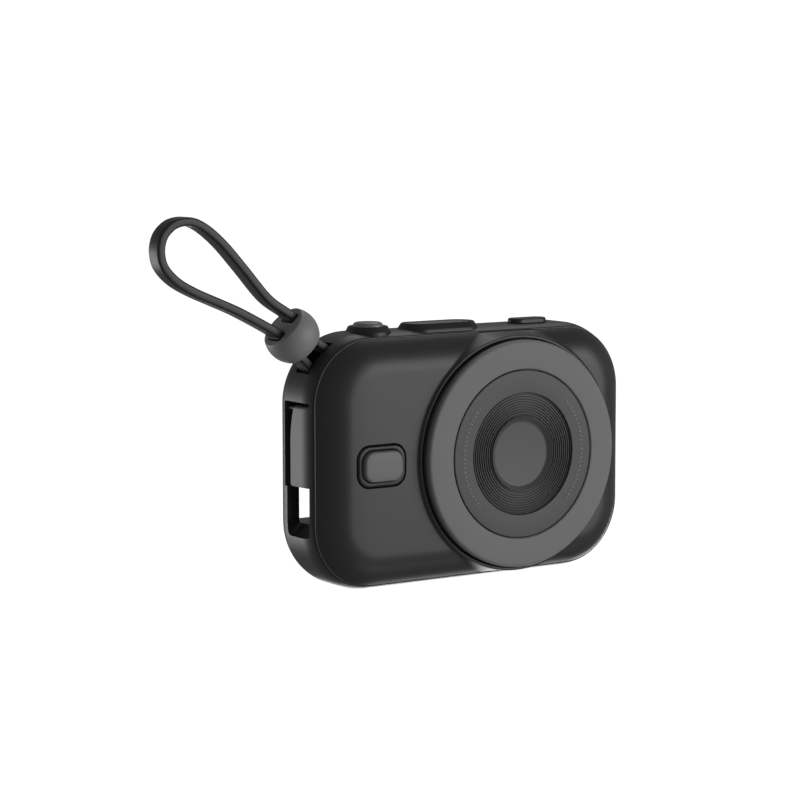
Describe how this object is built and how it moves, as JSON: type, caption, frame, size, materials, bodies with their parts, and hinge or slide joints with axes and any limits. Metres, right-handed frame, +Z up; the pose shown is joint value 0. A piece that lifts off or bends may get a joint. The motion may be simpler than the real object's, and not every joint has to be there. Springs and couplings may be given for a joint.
{
  "type": "magnetic power bank",
  "caption": "Camera-styled pocket power bank with a round magnetic charging pad, press buttons, a hinged side port door and a wrist strap with a sliding bead.",
  "frame": {"origin": "middle of the base that it stands on, on the body's width centre and halfway through the depth over the pad", "axes": "+Z up, +Y from the charging pad to the back, +X to the pad's side of the body"},
  "size_m": [0.1337, 0.0252, 0.0929],
  "materials": {
    "body_matte": "fine matte moulding grain, charcoal",
    "door_matte": "fine matte moulding grain, charcoal",
    "carrier_black": "dark satin",
    "pad_silicone": "soft-touch silicone, mid grey",
    "pad_plate_matte": "matte, dark grey",
    "groove_satin": "satin ridges",
    "dish_matte": "matte, dark grey",
    "key_grey": "matte, mid grey",
    "shutter_satin": "satin painted silver grey",
    "trim_black": "satin black",
    "display_gloss": "polished smoked window",
    "light_white": "translucent white",
    "magnet_nickel": "nickel plated",
    "yoke_steel": "plain steel",
    "coil_copper": "enamelled copper",
    "ferrite_grey": "sintered",
    "board_green": "solder mask",
    "chip_black": "moulded epoxy",
    "switch_steel": "plain",
    "socket_steel": "drawn",
    "pin_steel": "ground",
    "seal_rubber": "soft rubber",
    "cell_foil": "laminated foil pouch",
    "foam_black": "foam tape",
    "tray_black": "moulded",
    "screw_steel": "zinc plated",
    "strap_silicone": "smooth silicone, charcoal",
    "bead_matte": "matte, mid grey"
  },
  "bodies": {
    "root": {"front_shell": "body_matte", "rear_shell": "body_matte", "pad_carrier": "carrier_black", "pad_ring": "pad_silicone", "pad_plate": "pad_plate_matte", "groove_ring": "groove_satin", "centre_dish": "dish_matte", "magnet_ring": "magnet_nickel", "magnet_yoke": "yoke_steel", "charging_coil": "coil_copper", "ferrite_sheet": "ferrite_grey", "front_button_bezel": "trim_black", "front_switch": "switch_steel", "shutter_collar": "trim_black", "display_bezel": "trim_black", "display_window": "display_gloss", "display_lights": "light_white", "top_switches": "switch_steel", "button_board": "board_green", "main_board": "board_green", "board_chips": "chip_black", "power_inductor": "ferrite_grey", "usb_socket_shell": "socket_steel", "usb_socket_tongue": "chip_black", "door_pin": "pin_steel", "battery_cell_front": "cell_foil", "battery_cell_rear": "cell_foil", "cell_foam": "foam_black", "battery_tray": "tray_black", "tray_screws": "screw_steel", "base_pads": "seal_rubber", "strap": "strap_silicone"},
    "shutter": {"shutter_button": "shutter_satin"},
    "oval_key": {"oval_button": "trim_black"},
    "front_key": {"front_button": "key_grey"},
    "door": {"port_door": "door_matte", "door_seal": "seal_rubber"},
    "bead": {"bead": "bead_matte"}
  },
  "joints": [
    {"name": "shutter_press", "type": "slide", "parent": "root", "child": "shutter", "axis": [0, 0, -1], "range_m": [0, 0.0006], "stiffness_N_per_m": 400},
    {"name": "oval_press", "type": "slide", "parent": "root", "child": "oval_key", "axis": [0, 0, -1], "range_m": [0, 0.0005], "stiffness_N_per_m": 400},
    {"name": "front_press", "type": "slide", "parent": "root", "child": "front_key", "axis": [0, 1, 0], "range_m": [0, 0.0005], "stiffness_N_per_m": 400},
    {"name": "door_hinge", "type": "hinge", "parent": "root", "child": "door", "pos_m": [-0.0462, 0.0014, 0.0455], "axis": [0, 1, 0], "range_deg": [0, 95]},
    {"name": "bead_slide", "type": "slide", "parent": "root", "child": "bead", "axis": [-0.7431, 0, 0.6691], "range_m": [-0.0015, 0.0015]}
  ]
}
